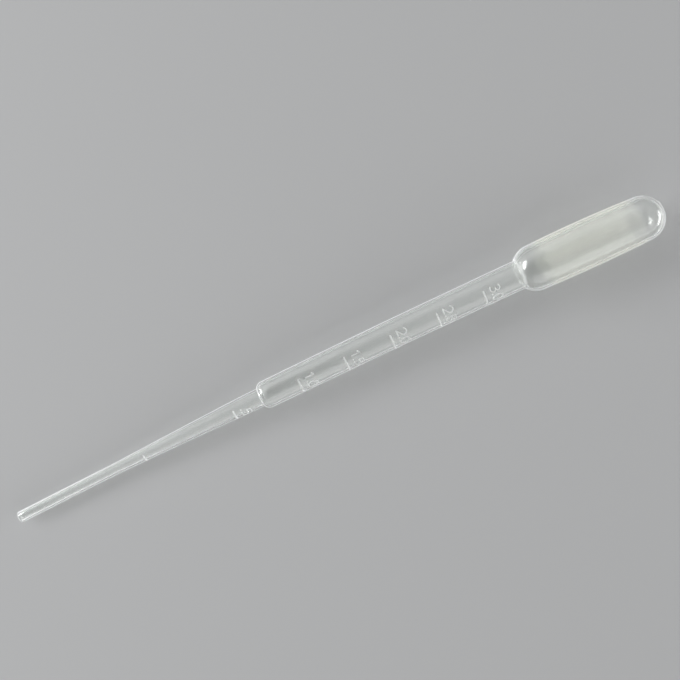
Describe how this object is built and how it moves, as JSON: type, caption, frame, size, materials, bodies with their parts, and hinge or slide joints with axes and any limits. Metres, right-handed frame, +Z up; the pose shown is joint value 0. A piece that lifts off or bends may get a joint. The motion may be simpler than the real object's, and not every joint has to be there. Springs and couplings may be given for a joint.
{
  "type": "plastic dropper pipette",
  "caption": "Soft translucent transfer pipette with a drawn tip, a stepped stem with raised volume marks, and a round-ended squeeze bulb.",
  "frame": {"origin": "middle of the ground that the pipette covers as it lies at rest", "axes": "+X from the tip to the bulb, +Z up from the surface that it lies on; the pipette's own axis leans up 1.8 degrees towards the bulb"},
  "size_m": [0.1898, 0.013, 0.0134],
  "materials": {
    "soft_polyethylene": "milky translucent low-density polyethylene, smooth and waxy, with faint drawing streaks"
  },
  "bodies": {
    "root": {"pipette": "soft_polyethylene"}
  },
  "joints": []
}
